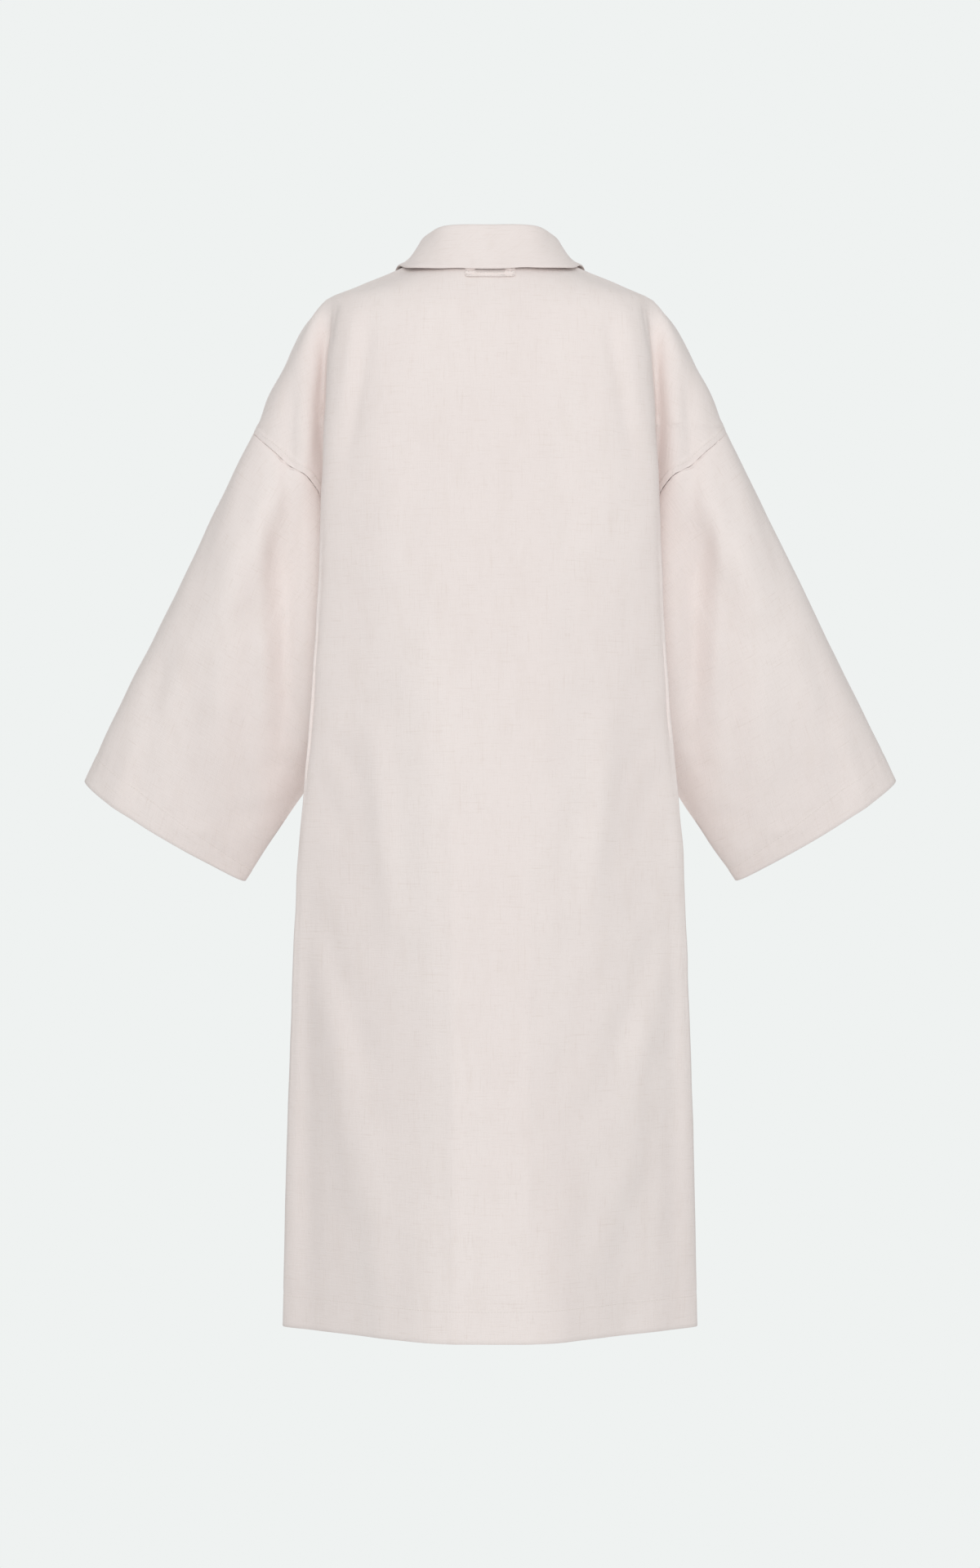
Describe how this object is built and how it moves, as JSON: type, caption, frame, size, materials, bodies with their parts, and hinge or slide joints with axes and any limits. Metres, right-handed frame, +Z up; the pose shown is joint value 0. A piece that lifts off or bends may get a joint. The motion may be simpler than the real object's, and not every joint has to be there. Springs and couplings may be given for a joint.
{
  "type": "kimono shirt",
  "caption": "Long, loose linen shirt with wide dropped-shoulder sleeves, a fold-over collar and a hanger loop, hollow as if worn.",
  "frame": {"origin": "centre of the neck opening at the height of the side neck, where the wearer's neck and shoulders hold the shirt", "axes": "+Z up, out of the neck; the front faces -Y and the back +Y; the wearer's left is +X"},
  "size_m": [0.884, 0.26, 1.1703],
  "materials": {
    "linen": "matte plain-weave linen, off-white, with slubs",
    "tape": "matte folded linen tape, off-white",
    "button_shell": "satin shell-like, cream"
  },
  "bodies": {
    "root": {"back": "linen", "front_left": "linen", "front_right": "linen", "sleeve_left": "linen", "sleeve_right": "linen", "collar": "linen", "hanger_loop": "tape", "button_1": "button_shell", "button_2": "button_shell", "button_3": "button_shell", "button_4": "button_shell", "button_5": "button_shell", "button_6": "button_shell"}
  },
  "joints": []
}
